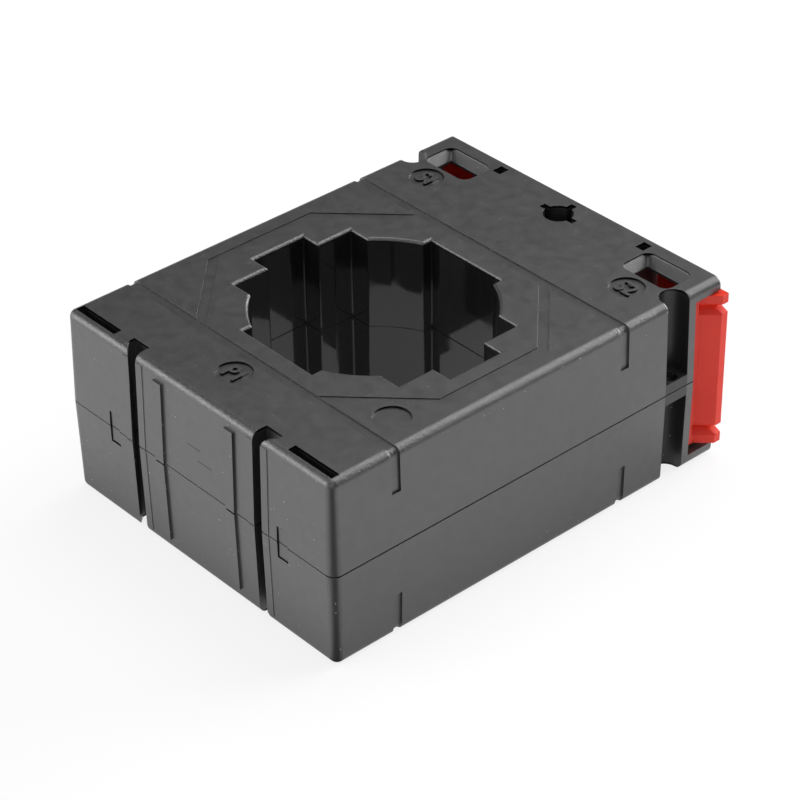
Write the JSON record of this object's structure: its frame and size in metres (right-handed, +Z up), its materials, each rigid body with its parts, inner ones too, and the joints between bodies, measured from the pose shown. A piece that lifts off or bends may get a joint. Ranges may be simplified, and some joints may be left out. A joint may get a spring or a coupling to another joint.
{
  "type": "current transformer",
  "caption": "Busbar current transformer: black two-shell case with a stepped window, ring core, winding, screw terminals and pull-off covers.",
  "frame": {"origin": "on the primary window's axis, in the plane of the large face that it lies on", "axes": "+X across the width towards terminal S2, +Y along the length towards the terminal end, +Z up along the window's axis"},
  "size_m": [0.0874, 0.1099, 0.045],
  "materials": {
    "case_plastic": "fine spark-eroded matte",
    "cover_plastic": "satin",
    "core_steel": "wound strip edges",
    "cap_plastic": "natural",
    "enamelled_copper": "enamelled wire",
    "tape": "polyester film",
    "foam": "closed-cell foam",
    "lead_wire": "insulated wire",
    "sleeving": "silicone sleeving",
    "plated_brass": "tin plated",
    "screw_steel": "zinc plated",
    "washer_steel": "zinc plated"
  },
  "bodies": {
    "case": {"upper_shell": "case_plastic", "lower_shell": "case_plastic", "ring_core": "core_steel", "core_cap_upper": "cap_plastic", "core_cap_lower": "cap_plastic", "secondary_winding": "enamelled_copper", "winding_tape": "tape", "cushion_ring_upper": "foam", "cushion_ring_lower": "foam", "lead_s1": "lead_wire", "lead_s2": "lead_wire", "lead_sleeve_s1": "sleeving", "lead_sleeve_s2": "sleeving", "terminal_bar_s1": "plated_brass", "terminal_bar_s2": "plated_brass", "terminal_screws_s1": "screw_steel", "terminal_screws_s2": "screw_steel", "clamp_washers_s1": "washer_steel", "clamp_washers_s2": "washer_steel"},
    "cover_s1": {"terminal_cover_s1": "cover_plastic"},
    "cover_s2": {"terminal_cover_s2": "cover_plastic"}
  },
  "joints": [
    {"name": "cover_s1_pull", "type": "slide", "parent": "case", "child": "cover_s1", "axis": [0, 1, 0], "range_m": [0, 0.012]},
    {"name": "cover_s2_pull", "type": "slide", "parent": "case", "child": "cover_s2", "axis": [0, 1, 0], "range_m": [0, 0.012]}
  ]
}
